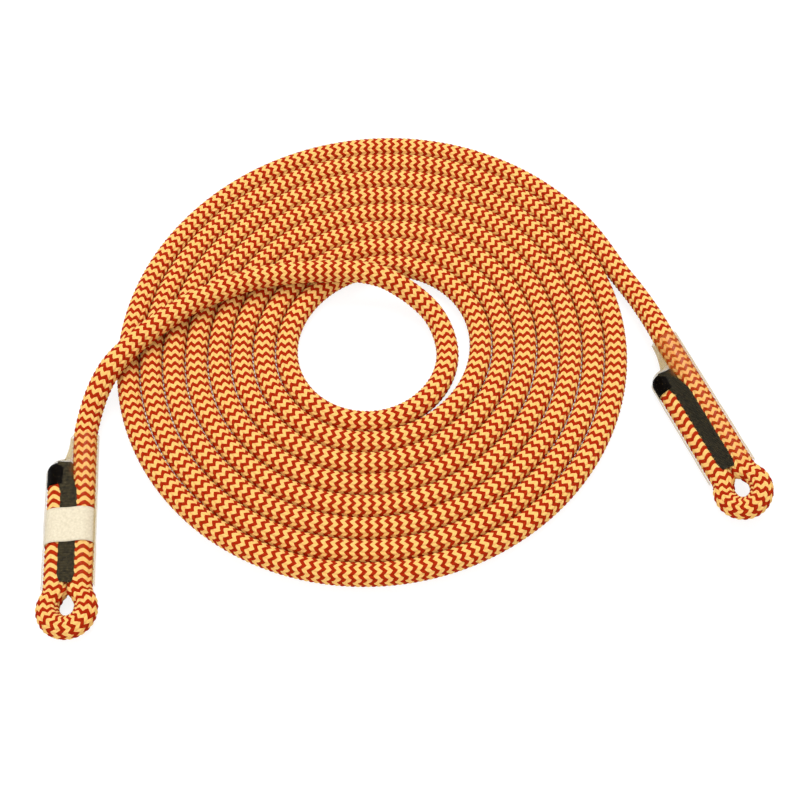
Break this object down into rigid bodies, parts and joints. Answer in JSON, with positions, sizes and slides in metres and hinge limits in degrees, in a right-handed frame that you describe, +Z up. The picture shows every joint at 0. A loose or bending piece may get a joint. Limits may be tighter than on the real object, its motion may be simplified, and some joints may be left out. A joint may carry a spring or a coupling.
{
  "type": "rope lanyard with sewn eyes",
  "caption": "Braided rope laid in a flat spiral coil, its inner end crossing over the turns, with a stitched and sleeved eye at each end for clipping in.",
  "frame": {"origin": "on the floor at the middle of the spiral coil", "axes": "+X to the right, towards the right sewn end; +Y to the back of the coil, away from the sewn ends; +Z up"},
  "size_m": [0.3522, 0.2939, 0.0228],
  "materials": {
    "cover_braid": "braided, red and pale yellow",
    "core_fibre": "straight white fibre",
    "seam_thread": "dark sewing thread",
    "cap_plastic": "black satin",
    "label_band": "cream paper, bare",
    "sleeve_film": "clear shrunk film"
  },
  "bodies": {
    "coil": {"coil_cover": "cover_braid", "coil_core": "core_fibre", "crossing_cover": "cover_braid", "crossing_core": "core_fibre"},
    "left_lead": {"left_lead_cover": "cover_braid", "left_lead_core": "core_fibre"},
    "left_end": {"left_eye_cover": "cover_braid", "left_eye_core": "core_fibre", "left_end_cap": "cap_plastic", "left_stitching": "seam_thread", "left_label": "label_band", "left_sleeve": "sleeve_film"},
    "right_lead": {"right_lead_cover": "cover_braid", "right_lead_core": "core_fibre"},
    "right_end": {"right_eye_cover": "cover_braid", "right_eye_core": "core_fibre", "right_end_cap": "cap_plastic", "right_stitching": "seam_thread", "right_sleeve": "sleeve_film"}
  },
  "joints": [
    {"name": "left_swing", "type": "hinge", "parent": "coil", "child": "left_lead", "pos_m": [-0.126, -0.008, 0.017], "axis": [0, 0, 1], "range_deg": [-30, 10], "deforming": ["left_lead_cover", "left_lead_core"]},
    {"name": "left_lift", "type": "hinge", "parent": "left_lead", "child": "left_end", "pos_m": [-0.14479, -0.05326, 0.0064], "axis": [-0.9962, -0.0872, 0], "range_deg": [0, 45], "deforming": ["left_lead_cover", "left_lead_core"]},
    {"name": "right_swing", "type": "hinge", "parent": "coil", "child": "right_lead", "pos_m": [0.1223, 0.05791, 0.0055], "axis": [0, 0, 1], "range_deg": [-5, 30], "deforming": ["right_lead_cover", "right_lead_core"]},
    {"name": "right_lift", "type": "hinge", "parent": "right_lead", "child": "right_end", "pos_m": [0.14694, 0.00086, 0.01139], "axis": [-0.9205, -0.3907, 0], "range_deg": [0, 45], "deforming": ["right_lead_cover", "right_lead_core"]}
  ]
}
